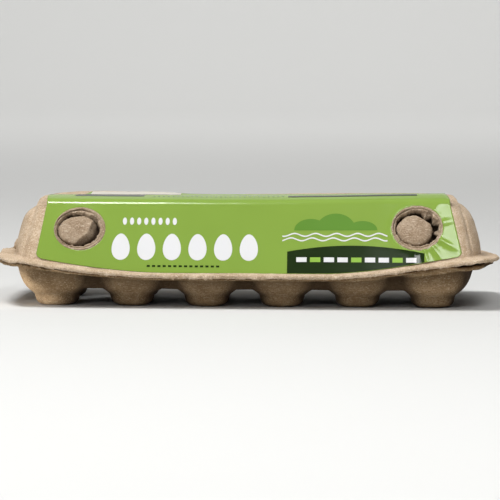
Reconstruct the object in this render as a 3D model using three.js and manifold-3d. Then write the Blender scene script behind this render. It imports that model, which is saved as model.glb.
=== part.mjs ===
// A shut egg carton of moulded paper pulp, two rows of six cups, with a glossy
// paper label over the front and top of its lid.
// Millimetres, +Z up, +X along the carton, -Y its front; the origin lies on the
// ground under the middle. The carton is shut, so lid and tray are solid inside.
import * as THREE from 'three';
import { mergeVertices } from 'three/addons/utils/BufferGeometryUtils.js';
import Module from 'manifold-3d';

// Driving dimensions of the whole carton
const LENGTH = 305;
const DEPTH = 108;
const HEIGHT = 64;
const CUPS_IN_ROW = 6;
const CUP_PITCH = 45.6;
const ROW_SPACING = 48;
const TRAY_SHIFT_X = -2; // the cups stand a little to the left of the flange and lid
const GAP = 0.3; // air left between pieces that touch
const MARGIN = 4; // how far a cutting body reaches beyond what it cuts

// The seam between lid and tray: level at the back and ends, low at the front middle
const SEAM_END_Z = 27.4;
const SEAM_DROP = 8.7;
const SEAM_FLAT_X = 50;
const SEAM_RISE_X = 138;
const SEAM_POWER = 1.7;
const RIGHT_LIFT = 2.2; // the front of the right end stands a little open
const RIGHT_LIFT_X = [40, 120];
const BACK_DROOP = 1.6; // and the back of the right end bends down
const BACK_DROOP_X = [130, 150];
const BACK_DROOP_Y = [-20, 40];
const LEFT_CURL = 1.7; // the front of the lid's left tip bends up off the tray
const LEFT_CURL_X = [143.5, 151.5];
const LEFT_CURL_Y = [0, 30];

// The flanges on both sides of the seam; their corners are ellipses
const FLANGE_CORNER = { x: 13, y: 42 };
const FLANGE_STEPS = 10;
const LID_FLANGE_T = 2.1;
const LID_LIP_EXTRA = 0.6;
const TRAY_FLANGE_T = 2.1;
const TRAY_LIP_LESS = 0.9;
const TRAY_FLANGE_INSET = { left: 0.8, right: 3.4, y: 4.2 };
const HINGE_BEAD = 2; // the fold along the back stands out by this
const HINGE_END = 27.5; // and stops this far from the flanges' tips

// The lid: a flat top, panels that slope down front and back, and rounded end lobes
const PANEL_TOP = { y: 30.6, z: 61.5 };
const PANEL_BASE = { y: 50, z: 21 };
const LID_TOP_X = 124.5;
const LID_FLOOR_Z = 12;
const LID_CORNER_R = 7;
const LID_FLOOR_CORNER_R = 9;
const CREASE_TOP_X = 129;
const CREASE_BASE_X = 138.5;
const TOP_SHORT = { left: 1, right: 2.4 }; // the top's ends draw in by these
const TOP_SHORT_Z = 52; // from this height up
const TOP_EDGE = [ // the rounding from panel to top: height, inward shift
	[PANEL_TOP.z, 0], [62.7, 0.75], [63.5, 1.75], [63.9, 3], [HEIGHT, 4.4],
];
const LOBE_STEP = 0.9; // how far the lobes stay behind the panels
const LOBE_PROFILE = [ // height, half length, corner radius
	[LID_FLOOR_Z, 143, 20], [30, 142.2, 20], [38, 141.6, 20], [46.5, 139.4, 19],
	[52.5, 137.2, 18], [55.6, 134.8, 17], [57.6, 132.2, 15], [58.9, 129.3, 12],
];

// The lock holes in the front panel, and the knobs in them. Each lock gives its middle,
// how far its hole and its knob lie off that middle along X, and its knob's half length.
const LOCKS = {
	left: { x: -101.1, z: 46.8, holeX: -1.1, knobX: -1.2, knobHalfX: 12 },
	right: { x: 101.9, z: 48, holeX: 0, knobX: -1, knobHalfX: 11.2 },
};
const LOCK_HOLE = { x: 13, s: 10.6 };
const HOLE_TAPER = 0.6; // the hole narrows by this to its floor, and widens to its mouth
const LOCK_RING = { x: 15.7, s: 14 };
const RING_BEVEL = 1.1;
const RING_SUNK = 2; // its foot inside the panel
const LOCK_DEPTH = 7;
const RING_PROUD = 0.9;
const RING_EDGE = 0.5; // the bevel's drop
const RING_SIDES = 40;
const HOLE_SIDES = 36;
const KNOB_SIDES = 28;
const KNOB_HALF_S = 9.7;
const KNOB_LEVELS = [ // how much narrower along X and up the slope, height over the panel
	[0.3, 0.3, -LOCK_DEPTH + GAP], [0, 0, -2.4], [0.5, 0.5, -1.1],
	[1.8, 1.7, 0], [4.6, 4.2, 0.5], [8, 6.6, 0.6],
];

// The label: a skin over the front panel and most of the top
const LABEL_OFF = 0.35;
const LABEL_T = 0.4;
const LABEL_TOP_X = 121.6;
const LABEL_FLARE = { left: 5.5, right: 7.3 }; // how much longer its lower edge is
const LABEL_RISE = 3.1; // its lower edge above the seam in the middle
const LABEL_RISE_END = 1.6; // and how much more at its ends
const LABEL_BACK_Y = 19.5;
const LABEL_TAPER = 0.2; // its ends draw in by this at each step over the top edge
const LABEL_HOLE_PLAY = 0.4;
const LABEL_HOLE_SPAN = [-3, 4]; // the cut for a lock goes from under the label to over it

// The tray: cups on square feet, joined by webs
const WEB_Z = 10.6;
const WEB_PROFILE = [ // height, reach beyond the cups' middles along X and Y, corner radius
	[WEB_Z, 8, 11, 8], [17, 13, 14, 9], [30, 18, 18, 10],
];
const POST_PROFILE = [[9, 10.5], [WEB_Z + 1, 9.2], [19.5, 5.5]]; // height, half width
const POST_SIDES = 16;
const CUP_SIDES = 24;
const CUP_ROUNDNESS = 2.4;
const CUP_PROFILE = [ // height, half width
	[0, 9.6], [0.9, 11.7], [2.6, 12.9], [7, 13.7],
	[8.6, 16], [11.4, 19], [15.5, 21.6], [21, 23.6], [30, 24.8],
];

const PULP = new THREE.Color(0xcbb499);
const SHADE_PULP = new THREE.Color(0xc4ad92);
const LABEL_GREEN = new THREE.Color(0x97bd4f);

const wasm = await Module();
wasm.setup();

// A solid from a closed three.js geometry
function solid(geometry) {
	const bare = geometry.index ? geometry.toNonIndexed() : geometry;
	bare.deleteAttribute('normal');
	bare.deleteAttribute('uv');
	const merged = mergeVertices(bare, 1e-4);
	return new wasm.Manifold(new wasm.Mesh({
		numProp: 3,
		vertProperties: new Float32Array(merged.attributes.position.array),
		triVerts: new Uint32Array(merged.index.array),
	}));
}

function geometryOf(body) {
	const mesh = body.getMesh();
	const geometry = new THREE.BufferGeometry();
	geometry.setAttribute('position', new THREE.BufferAttribute(mesh.vertProperties, 3));
	geometry.setIndex(new THREE.BufferAttribute(mesh.triVerts, 1));
	geometry.computeVertexNormals();
	return geometry;
}

function faces(points, index) {
	const geometry = new THREE.BufferGeometry().setFromPoints(points);
	geometry.setIndex(index);
	return geometry;
}

// A closed body through loops of equal length, lowest first, each counter-clockwise
// from above, with a fan over each end
function loft(loops) {
	const n = loops[0].length;
	const points = loops.flat();
	const index = [];
	for (let k = 0; k < loops.length - 1; k++) {
		for (let i = 0; i < n; i++) {
			const a = k * n + i;
			const b = k * n + (i + 1) % n;
			index.push(a, b, b + n, a, b + n, a + n);
		}
	}
	const last = (loops.length - 1) * n;
	const centre = (loop) => loop.reduce((sum, p) => sum.add(p), new THREE.Vector3()).divideScalar(n);
	points.push(centre(loops[0]), centre(loops[loops.length - 1]));
	for (let i = 0; i < n; i++) {
		const j = (i + 1) % n;
		index.push(j, i, points.length - 2);
		index.push(last + i, last + j, points.length - 1);
	}
	return faces(points, index);
}

// A slab between two heights over a grid of plan positions
function slab(xs, ys, low, high) {
	const points = [];
	for (const height of [low, high]) {
		for (const y of ys) {
			for (const x of xs) points.push(new THREE.Vector3(x, y, height(x, y)));
		}
	}
	const nx = xs.length;
	const ny = ys.length;
	const top = nx * ny;
	const index = [];
	const quad = (a, b, c, d) => index.push(a, b, c, a, c, d);
	for (let j = 0; j < ny - 1; j++) {
		for (let i = 0; i < nx - 1; i++) {
			const a = j * nx + i;
			quad(a, a + nx, a + nx + 1, a + 1);
			quad(top + a, top + a + 1, top + a + nx + 1, top + a + nx);
		}
	}
	for (let i = 0; i < nx - 1; i++) {
		const b = (ny - 1) * nx + i;
		quad(i, i + 1, top + i + 1, top + i);
		quad(b + 1, b, top + b, top + b + 1);
	}
	for (let j = 0; j < ny - 1; j++) {
		const a = j * nx;
		const b = a + nx - 1;
		quad(a + nx, a, top + a, top + a + nx);
		quad(b, b + nx, top + b + nx, top + b);
	}
	return faces(points, index);
}

// Evenly spaced values from one end to the other
const steps = (from, to, n) => Array.from({ length: n + 1 }, (_, i) => from + (to - from) * i / n);

// A rounded rectangle at one height: half length, half depth, the corners' radius and,
// where the corners are ellipses, their radius along Y
function roundedLoop(halfX, halfY, r, z, cornerSteps = 6, ry = r) {
	const loop = [];
	for (let corner = 0; corner < 4; corner++) {
		const sx = corner === 0 || corner === 3 ? 1 : -1;
		const sy = corner < 2 ? 1 : -1;
		for (const t of steps(corner * 90, corner * 90 + 90, cornerSteps)) {
			const a = THREE.MathUtils.degToRad(t);
			loop.push(new THREE.Vector3(
				sx * (halfX - r) + r * Math.cos(a), sy * (halfY - ry) + ry * Math.sin(a), z));
		}
	}
	return loop;
}

// A superellipse at one height
function squareLoop(cx, cy, half, z, sides, turn = 0) {
	return Array.from({ length: sides }, (_, i) => {
		const a = 2 * Math.PI * (i + 0.5) / sides + turn;
		const c = Math.cos(a - turn);
		const s = Math.sin(a - turn);
		const r = half / (Math.abs(c) ** CUP_ROUNDNESS + Math.abs(s) ** CUP_ROUNDNESS) ** (1 / CUP_ROUNDNESS);
		return new THREE.Vector3(cx + r * Math.cos(a), cy + r * Math.sin(a), z);
	});
}

// How far the seam has risen from its low front middle, 0 to 1
function seamRise(x) {
	const t = (Math.abs(x) - SEAM_FLAT_X) / (SEAM_RISE_X - SEAM_FLAT_X);
	return THREE.MathUtils.clamp(t, 0, 1) ** SEAM_POWER;
}

// 1 at the front edge, 0 from the middle of the carton backwards
const frontShare = (y) => THREE.MathUtils.smoothstep(-y, 0, PANEL_BASE.y);

const lowShare = (x, y) => (1 - seamRise(x)) * frontShare(y);

function seam(x, y) {
	const lift = RIGHT_LIFT * THREE.MathUtils.smoothstep(x, ...RIGHT_LIFT_X) * frontShare(y);
	const droop = BACK_DROOP * THREE.MathUtils.smoothstep(x, ...BACK_DROOP_X)
		* THREE.MathUtils.smoothstep(y, ...BACK_DROOP_Y);
	return SEAM_END_Z - SEAM_DROP * lowShare(x, y) + lift - droop;
}

// The underside of the lid's flange: the seam, but for the curl of the left tip
function lidSeam(x, y) {
	const front = 1 - THREE.MathUtils.smoothstep(y, ...LEFT_CURL_Y);
	return seam(x, y) + LEFT_CURL * THREE.MathUtils.smoothstep(-x, ...LEFT_CURL_X) * front;
}

const gridX = steps(-LENGTH / 2 - MARGIN, LENGTH / 2 + MARGIN, 40);
const gridY = steps(-DEPTH / 2 - MARGIN, DEPTH / 2 + MARGIN, 8);
const belowSeam = () => solid(slab(gridX, gridY, () => -MARGIN, (x, y) => lidSeam(x, y) + GAP / 2));
const aboveSeam = () => solid(slab(gridX, gridY, (x, y) => seam(x, y) - GAP / 2, () => HEIGHT + MARGIN));

// A flange: a rounded plate with the seam's curve, inset from the carton's outline
function flange(inset, low, high) {
	const halfX = (LENGTH - inset.left - inset.right) / 2;
	const midX = (inset.left - inset.right) / 2;
	const front = DEPTH / 2 - inset.y;
	const back = DEPTH / 2 - HINGE_BEAD;
	const shift = (back - front) / 2;
	const halfY = (back + front) / 2;
	const loops = [0, HEIGHT].map((z) => roundedLoop(
		halfX, halfY, FLANGE_CORNER.x, z, FLANGE_STEPS, FLANGE_CORNER.y)
		.map((p) => p.set(p.x + midX, p.y + shift, p.z)));
	return solid(loft(loops)).intersect(solid(slab(gridX, gridY, low, high)));
}

// Where a height falls on the sloping panel
function panelY(z) {
	const t = (PANEL_TOP.z - z) / (PANEL_TOP.z - PANEL_BASE.z);
	return PANEL_TOP.y + t * (PANEL_BASE.y - PANEL_TOP.y);
}

function creaseX(z) {
	const t = (PANEL_TOP.z - z) / (PANEL_TOP.z - PANEL_BASE.z);
	return CREASE_TOP_X + t * (CREASE_BASE_X - CREASE_TOP_X);
}

// The frame of the front panel at a lock: x along the carton, s up the slope, n outwards
const slope = Math.atan2(PANEL_BASE.y - PANEL_TOP.y, PANEL_TOP.z - PANEL_BASE.z);
const panelNormal = new THREE.Vector3(0, -Math.cos(slope), Math.sin(slope));
const panelUp = new THREE.Vector3(0, Math.sin(slope), Math.cos(slope));

function onPanel(lock, x, s, n) {
	return new THREE.Vector3(lock.x + x, -panelY(lock.z), lock.z)
		.addScaledVector(panelUp, s)
		.addScaledVector(panelNormal, n);
}

// An oval loft that stands on the front panel; each level gives radii and height over the panel
function ovalLoft(lock, levels, sides, shiftX = 0) {
	return solid(loft(levels.map(([rx, rs, n]) => Array.from({ length: sides }, (_, i) => {
		const a = 2 * Math.PI * i / sides;
		return onPanel(lock, shiftX + rx * Math.cos(a), rs * Math.sin(a), n);
	}))));
}

function lidBody() {
	const shorter = (CREASE_TOP_X - LID_TOP_X) / TOP_EDGE[TOP_EDGE.length - 1][1];
	const leanR = THREE.MathUtils.mapLinear(
		TOP_SHORT_Z, LID_FLOOR_Z, PANEL_TOP.z, LID_FLOOR_CORNER_R, LID_CORNER_R);
	const less = (TOP_SHORT.left + TOP_SHORT.right) / 2;
	const shift = (TOP_SHORT.left - TOP_SHORT.right) / 2;
	const top = TOP_EDGE.map(([z, inset], i) => roundedLoop(
		CREASE_TOP_X - inset * shorter - less, PANEL_TOP.y - inset, LID_CORNER_R - i, z)
		.map((p) => p.setX(p.x + shift)));
	const main = loft([
		roundedLoop(creaseX(LID_FLOOR_Z), panelY(LID_FLOOR_Z), LID_FLOOR_CORNER_R, LID_FLOOR_Z),
		roundedLoop(creaseX(TOP_SHORT_Z), panelY(TOP_SHORT_Z), leanR, TOP_SHORT_Z),
		...top,
	]);
	const lobes = loft(LOBE_PROFILE.map(([z, halfX, r]) => roundedLoop(
		halfX, panelY(z) - LOBE_STEP, r, z)));
	const rim = flange({ left: 0, right: 0, y: 0 }, (x, y) => seam(x, y) - MARGIN,
		(x, y) => lidSeam(x, y) + GAP / 2 + LID_FLANGE_T + LID_LIP_EXTRA * lowShare(x, y));
	let lid = solid(main).add(solid(lobes)).add(rim);
	for (const lock of Object.values(LOCKS)) {
		lid = lid.add(ovalLoft(lock, [
			[LOCK_RING.x, LOCK_RING.s, -RING_SUNK],
			[LOCK_RING.x, LOCK_RING.s, RING_PROUD - RING_EDGE],
			[LOCK_RING.x - RING_BEVEL, LOCK_RING.s - RING_BEVEL, RING_PROUD],
		], RING_SIDES));
		lid = lid.subtract(ovalLoft(lock, [
			[LOCK_HOLE.x - HOLE_TAPER, LOCK_HOLE.s - HOLE_TAPER, -LOCK_DEPTH],
			[LOCK_HOLE.x, LOCK_HOLE.s, 0],
			[LOCK_HOLE.x + HOLE_TAPER, LOCK_HOLE.s + HOLE_TAPER, RING_PROUD + GAP],
		], HOLE_SIDES, lock.holeX));
	}
	return lid.subtract(belowSeam());
}

function knobBody(lock) {
	const levels = KNOB_LEVELS.map(([x, s, n]) => [lock.knobHalfX - x, KNOB_HALF_S - s, n]);
	return ovalLoft(lock, levels, KNOB_SIDES, lock.knobX);
}

function trayBody() {
	let tray = flange(TRAY_FLANGE_INSET,
		(x, y) => seam(x, y) - GAP / 2 - TRAY_FLANGE_T + TRAY_LIP_LESS * lowShare(x, y),
		(x, y) => seam(x, y) + MARGIN);
	const rowHalf = CUP_PITCH * (CUPS_IN_ROW - 1) / 2;
	const web = solid(loft(WEB_PROFILE.map(([z, reachX, reachY, r]) => roundedLoop(
		rowHalf + reachX, ROW_SPACING / 2 + reachY, r, z))));
	tray = tray.add(web.translate([TRAY_SHIFT_X, 0, 0]));
	for (let i = 0; i < CUPS_IN_ROW; i++) {
		for (const row of [-1, 1]) {
			const cx = i * CUP_PITCH - rowHalf + TRAY_SHIFT_X;
			const cy = row * ROW_SPACING / 2;
			tray = tray.add(solid(loft(
				CUP_PROFILE.map(([z, half]) => squareLoop(cx, cy, half, z, CUP_SIDES)))));
		}
	}
	for (let i = 0; i < CUPS_IN_ROW - 1; i++) {
		const cx = (i + 0.5) * CUP_PITCH - rowHalf + TRAY_SHIFT_X;
		tray = tray.subtract(solid(loft(POST_PROFILE.map(
			([z, half]) => squareLoop(cx, 0, half, z, POST_SIDES, Math.PI / 4)))));
	}
	return tray.subtract(aboveSeam());
}

// The label's path over the lid, from the front's lower edge up and over the top:
// share v runs 0 to 1 up the panel, then on over the edge points to the back
function labelPoint(u, v, off) {
	const over = TOP_EDGE.length;
	const lower = (x) => seam(x, -PANEL_BASE.y) + LABEL_RISE + LABEL_RISE_END * seamRise(x);
	if (v <= 1) {
		const flare = u < 0 ? LABEL_FLARE.left : LABEL_FLARE.right;
		const x = u * (LABEL_TOP_X + flare * (1 - v));
		const z = lower(x) + v * (PANEL_TOP.z - lower(x));
		return new THREE.Vector3(x, -panelY(z), z).addScaledVector(panelNormal, off);
	}
	const k = Math.min(v - 1, over - 1);
	const [z, inset] = TOP_EDGE[k];
	const lean = (Math.PI / 2 - slope) * k / (over - 1);
	const tilt = slope + lean;
	const edge = new THREE.Vector3(u * (LABEL_TOP_X - k * LABEL_TAPER), -(PANEL_TOP.y - inset), z);
	edge.addScaledVector(new THREE.Vector3(0, -Math.cos(tilt), Math.sin(tilt)), off);
	return v - 1 > over - 1 ? edge.setY(LABEL_BACK_Y) : edge;
}

function labelBody() {
	const us = steps(-1, 1, 44);
	const vs = [...steps(0, 1, 4), 2, 3, 4, 5, 6];
	const outer = vs.map((v) => us.map((u) => labelPoint(u, v, LABEL_OFF + LABEL_T)));
	const inner = vs.map((v) => us.map((u) => labelPoint(u, v, LABEL_OFF)));
	let label = solid(sheet(outer, inner));
	const holeX = LOCK_RING.x + LABEL_HOLE_PLAY;
	const holeS = LOCK_RING.s + LABEL_HOLE_PLAY;
	for (const lock of Object.values(LOCKS)) {
		label = label.subtract(ovalLoft(lock, LABEL_HOLE_SPAN.map((n) => [holeX, holeS, n]), RING_SIDES));
	}
	return label;
}

// A closed skin from its outer and inner grids of points
function sheet(outer, inner) {
	const rows = outer.length;
	const cols = outer[0].length;
	const points = [...outer.flat(), ...inner.flat()];
	const under = rows * cols;
	const index = [];
	const quad = (a, b, c, d) => index.push(a, b, c, a, c, d);
	for (let j = 0; j < rows - 1; j++) {
		for (let i = 0; i < cols - 1; i++) {
			const a = j * cols + i;
			quad(a, a + 1, a + cols + 1, a + cols);
			quad(under + a, under + a + cols, under + a + cols + 1, under + a + 1);
		}
	}
	for (let i = 0; i < cols - 1; i++) {
		const b = (rows - 1) * cols + i;
		quad(under + i, under + i + 1, i + 1, i);
		quad(b, b + 1, under + b + 1, under + b);
	}
	for (let j = 0; j < rows - 1; j++) {
		const a = j * cols;
		const b = a + cols - 1;
		quad(a, a + cols, under + a + cols, under + a);
		quad(under + b, under + b + cols, b + cols, b);
	}
	return faces(points, index);
}

// The fold that joins lid and tray along the back edge
function hingeBody() {
	const halfX = LENGTH / 2 - HINGE_END;
	const innerY = DEPTH / 2 - HINGE_BEAD + GAP;
	const half = LID_FLANGE_T;
	const bulge = DEPTH / 2 - innerY;
	const section = new THREE.Shape();
	section.moveTo(0, -half);
	section.absellipse(0, 0, bulge, half, -Math.PI / 2, Math.PI / 2);
	section.closePath();
	const geometry = new THREE.ExtrudeGeometry(section, {
		depth: 2 * halfX, bevelEnabled: false, curveSegments: 8 });
	geometry.applyMatrix4(new THREE.Matrix4().makeBasis(
		new THREE.Vector3(0, 1, 0), new THREE.Vector3(0, 0, 1), new THREE.Vector3(1, 0, 0)));
	geometry.translate(-halfX, innerY, SEAM_END_Z);
	return solid(geometry);
}

const carton = new THREE.Group();

function addPiece(name, body, color, roughness) {
	const material = new THREE.MeshStandardMaterial({ color, roughness, metalness: 0 });
	const mesh = new THREE.Mesh(geometryOf(body), material);
	mesh.name = name;
	carton.add(mesh);
}

addPiece('tray', trayBody(), SHADE_PULP, 0.95);
addPiece('lid', lidBody(), PULP, 0.95);
addPiece('hinge', hingeBody(), PULP, 0.95);
addPiece('label', labelBody(), LABEL_GREEN, 0.3);
for (const [side, lock] of Object.entries(LOCKS)) {
	addPiece(`lock_knob_${side}`, knobBody(lock), PULP, 0.95);
}

export default carton;
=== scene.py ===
import math

import bmesh
import bpy
import numpy as np
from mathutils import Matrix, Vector


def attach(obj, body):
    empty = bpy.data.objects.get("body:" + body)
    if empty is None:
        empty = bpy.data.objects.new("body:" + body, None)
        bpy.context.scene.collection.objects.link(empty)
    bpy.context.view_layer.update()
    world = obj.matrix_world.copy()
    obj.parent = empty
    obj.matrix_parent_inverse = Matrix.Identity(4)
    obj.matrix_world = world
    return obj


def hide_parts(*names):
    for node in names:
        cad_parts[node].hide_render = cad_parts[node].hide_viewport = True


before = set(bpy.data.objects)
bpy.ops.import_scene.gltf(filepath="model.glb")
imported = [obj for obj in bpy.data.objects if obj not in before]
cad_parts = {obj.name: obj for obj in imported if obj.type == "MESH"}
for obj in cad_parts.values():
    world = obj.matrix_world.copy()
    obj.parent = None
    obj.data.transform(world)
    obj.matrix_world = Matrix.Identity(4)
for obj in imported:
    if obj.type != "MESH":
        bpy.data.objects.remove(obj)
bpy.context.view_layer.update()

# Shapes are worked out in millimetres and put into the meshes in metres.
MM = 0.001

# The seam between lid and tray: level at the back and ends, low at the front middle
SEAM_END_Z = 27.4
SEAM_DROP = 8.7
SEAM_FLAT_X = 50
SEAM_RISE_X = 138
SEAM_POWER = 1.7
SEAM_FRONT_Y = 50
RIGHT_LIFT = 2.2
RIGHT_LIFT_X = (40, 120)
BACK_DROOP = 1.6
BACK_DROOP_X = (130, 150)
BACK_DROOP_Y = (-20, 40)
LEFT_CURL = 0.9  # the front of the lid's left tip bends up off the tray
LEFT_CURL_X = (143.5, 151.5)
LEFT_CURL_Y = (0, 30)
SEAM_GAP = 0.3
TOP_LIFT = 1.4  # the right of the lid's top stands a little higher than its left
TOP_LIFT_X = (-30, 125)
TOP_LIFT_Z = (30, 60)

# The flanges: half length, reach to the front and back, corner radii, thickness
FLANGE_X = 152.5
FLANGE_FRONT = 54
FLANGE_BACK = 52
FLANGE_CORNER = (13, 42)  # radius along x and along y
LID_FLANGE_T = 2.1
LID_LIP_EXTRA = 0.6
TRAY_FLANGE_T = 2.1
TRAY_LIP_LESS = 0.9
NO_INSET = (0, 0, 0)
TRAY_INSET = (0.8, 3.4, 4.2)  # at the left, the right and the front
TRAY_NEAR = (-150, -135, -115, -75, 3.2)  # there its flange comes nearer the lid's edge: x, reach

# The lid: panels from (y, z) at their top to (y, z) at their base, ends and top
PANEL_TOP = (30.6, 61.5)
PANEL_BASE = (50, 21)
CREASE_TOP_X = 129
CREASE_BASE_X = 138.5
TOP_SHORT = (1, 2.4)  # the top's left and right ends draw in by these
TOP_SHORT_Z = (52, 61.5)
CREASE_GROOVE = (0.55, 1.3)  # depth and width
LOBE_STEP = 0.9
LOBE_RIGHT_LESS = 1.1  # the right lobe stands out less than the left one
LID_TOP_Z = 64
LOBE_PROFILE = (  # height, half length, corner radii along x and y
    (12, 143, 16, 26), (30, 142.2, 16, 25), (38, 141.6, 16, 24), (46.5, 139.4, 15, 22),
    (52.5, 137.2, 14, 19), (55.6, 134.8, 13, 17), (57.6, 132.2, 12, 15), (58.9, 129.3, 10, 12),
    (60, 124, 8, 8), (LID_TOP_Z, 110, 6, 6))
MAIN_EDGE = (  # height, half length, half depth, corner radius
    (61.5, 129, 30.6, 7), (62.7, 128.3, 29.85, 6.4), (63.5, 127.3, 28.85, 5.6),
    (63.9, 126.1, 27.6, 5), (LID_TOP_Z, 124.7, 26.2, 4.4))
TOP_RIDGE = (-80, 37, 1.3)  # the back left of the top stands up: centre x, half length, height
TOP_RIDGE_Y = (2, 22)
TOP_RIDGE_Z = (58, 63)
# The front of the top bulges: height at the left and right, rise from y to y, fall from y
# to y; and it falls off again towards the right end, from x to x, by a share.
TOP_CROWN = (0.9, 1.9, -30, -18, -13, 18)
CROWN_END = (117.5, 123.5, 0.7)
TOP_CROWN_Z = (59, 62.5)

# The lock holes in the front panel and the knobs in them
LOCKS = {  # middle x and z, and how far the hole lies off it along x and up the slope
    "left": (-101.1, 46.8, -1.1, -0.4),
    "right": (101.9, 47.8, -0.1, -0.2),
}
LOCK_RING = (15.7, 14)
LOCK_HOLE = (13, 10.6)
LOCK_DEPTH = 7
RING_PROUD = 0.9
LOCK_SINK = 8  # how deep pulp and paper go down inside a lock's ring
LID_DIP = (0.93, 0.12)  # where the pulp's dip starts, as a share of the ring, and its width
LABEL_DIP = (0.96, 0.1)  # the same for the paper

# The label
LABEL_TOP_X = 121.6
LABEL_FLARE = (5.5, 7.3)  # how much longer its lower edge is, left and right
LABEL_RISE = 3.1
LABEL_RISE_END = 1.6
LABEL_BACK_Y = 19.5
LABEL_CUT = (-102, -97.5, 15.5)  # its back left corner is cut: from x to x, depth
LABEL_CORNER_R = 4
LABEL_TOP_FLARE = (0.09, -29, 13)  # both ends lean left by this a mm back, from y, for so far
LABEL_LIFT = 0.38
LABEL_T = 0.2

# The tray: cups and the webs between them
CUPS_IN_ROW = 6
CUP_PITCH = 45.6
ROW_SPACING = 48
TRAY_SHIFT_X = -2
WEB_Z = 10.6
WEB_REACH = (8, 11)  # beyond the cups' middles along x and y, at its lower edge
WEB_PROFILE = ((0, WEB_Z), (3.5, 17), (8, 30))  # outwards from its lower edge, height
POST_PROFILE = ((5.5, 19.5), (9.2, WEB_Z))  # half width, height
CUP_ROUNDNESS = 2.4
CUP_PROFILE = (  # half width, height
    (0, 0), (7.4, 0), (10.6, 0.6), (12.4, 2.2), (13.2, 4.4), (13.7, 7),
    (16, 8.6), (19, 11.4), (21.6, 15.5), (23.6, 21), (24.8, 30))

SLOPE = math.atan2(PANEL_BASE[0] - PANEL_TOP[0], PANEL_TOP[1] - PANEL_BASE[1])
PANEL_NORMAL = np.array([0, -math.cos(SLOPE), math.sin(SLOPE)])
PANEL_UP = np.array([0, math.sin(SLOPE), math.cos(SLOPE)])


def smoothstep(x, low, high):
    """0 below low, 1 above high, and 3t^2 - 2t^3 between them."""
    t = np.clip((np.asarray(x, float) - low) / (high - low), 0, 1)
    return t * t * (3 - 2 * t)


def between(x, rise_from, rise_to, fall_from, fall_to):
    """0, then up to 1 over the first span by a smoothstep, and down to 0 over the second."""
    return smoothstep(x, rise_from, rise_to) * (1 - smoothstep(x, fall_from, fall_to))


def smooth_min(a, b, r):
    """The lower of two heights, with a fillet of about r where they meet."""
    h = np.clip(0.5 + 0.5 * (b - a) / r, 0, 1)
    return b + (a - b) * h - r * h * (1 - h)


def rounded_line(points, passes=3):
    """A line of points with its corners cut at a quarter and three quarters, a few times."""
    line = np.array(points, float)
    for _ in range(passes):
        quarter = line[:-1] * 0.75 + line[1:] * 0.25
        three = line[:-1] * 0.25 + line[1:] * 0.75
        cut = np.stack([quarter, three], 1).reshape(-1, line.shape[1])
        line = np.concatenate([line[:1], cut, line[-1:]])
    return line


def noise(points, size, seed):
    """Random values from -1 to 1 on a cubic lattice of that size in millimetres, blended
    between the eight corners round each point by a smoothstep."""
    n = 48
    table = np.random.default_rng(seed).uniform(-1, 1, (n, n, n))
    q = np.asarray(points, float) / size
    base = np.floor(q).astype(int)
    f = q - base
    f = f * f * (3 - 2 * f)
    total = 0
    for corner in np.ndindex(2, 2, 2):
        weight = np.prod(np.where(np.array(corner, bool), f, 1 - f), axis=-1)
        i, j, k = np.moveaxis((base + corner) % n, -1, 0)
        total = total + weight * table[i, j, k]
    return total


def layered_noise(points, layers, seed):
    """A sum of noises, each layer giving its size and height in millimetres."""
    return sum(h * noise(points, size, seed + i) for i, (size, h) in enumerate(layers))


def whole_turn(count):
    """That many angles round a circle, as one row."""
    return np.linspace(0, 2 * np.pi, count, endpoint=False)[None]


def profile_columns(profile):
    """The two values of a profile's points, rounded off, as two columns."""
    line = rounded_line(profile, 2)
    return line[:, :1], line[:, 1:]


def normals_of(grid, wrap):
    """Unit normals of a grid of points: along the columns crossed with along the rows."""
    if wrap:
        across = np.roll(grid, -1, axis=1) - np.roll(grid, 1, axis=1)
    else:
        across = np.gradient(grid, axis=1)
    along = np.gradient(grid, axis=0)
    n = np.cross(across, along)
    return n / np.maximum(np.linalg.norm(n, axis=-1, keepdims=True), 1e-12)


def quads_of(rows, cols, wrap, start=0, flip=False):
    """Four corners of each cell of a grid, counter-clockwise with the columns running
    right and the rows running up; wrap joins the last column to the first."""
    r, c = np.meshgrid(np.arange(rows - 1), np.arange(cols if wrap else cols - 1), indexing="ij")
    right = (c + 1) % cols
    quads = np.stack([r * cols + c, r * cols + right, (r + 1) * cols + right, (r + 1) * cols + c], -1)
    quads = quads.reshape(-1, 4) + start
    return quads[:, ::-1] if flip else quads


def fan_of(loop, centre, flip=False):
    """Triangles from a closed loop of point numbers to one centre point."""
    nxt = np.roll(loop, -1)
    tris = np.stack([loop, nxt, np.full_like(loop, centre)], -1)
    return tris[:, ::-1] if flip else tris


def closed_ends(grid):
    """Points and faces of a grid that wraps round, with a fan over its first and last row."""
    rows, cols = grid.shape[:2]
    points = np.concatenate([grid.reshape(-1, 3), [grid[0].mean(0), grid[-1].mean(0)]])
    loop = np.arange(cols)
    faces = [quads_of(rows, cols, wrap=True), fan_of(loop, rows * cols, flip=True),
             fan_of((rows - 1) * cols + loop, rows * cols + 1)]
    return points, faces


def border_of(rows, cols):
    """The numbers of a grid's border points, once round, counter-clockwise."""
    along, up = np.arange(cols - 1), np.arange(rows - 1)
    return np.concatenate([along, (up + 1) * cols - 1, rows * cols - 1 - along, (rows - 1 - up) * cols])


def linked(thing):
    """The same object, after it is put into the scene."""
    bpy.context.scene.collection.objects.link(thing)
    return thing


def smooth_object(name, points, faces):
    """An object in the scene with a smooth-shaded mesh, from points in metres."""
    mesh = bpy.data.meshes.new(name)
    corners = [face for block in faces for face in block.tolist()]
    mesh.from_pydata(np.asarray(points).reshape(-1, 3).tolist(), [], corners)
    mesh.polygons.foreach_set("use_smooth", np.ones(len(mesh.polygons), bool))
    return linked(bpy.data.objects.new(name, mesh))


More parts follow.
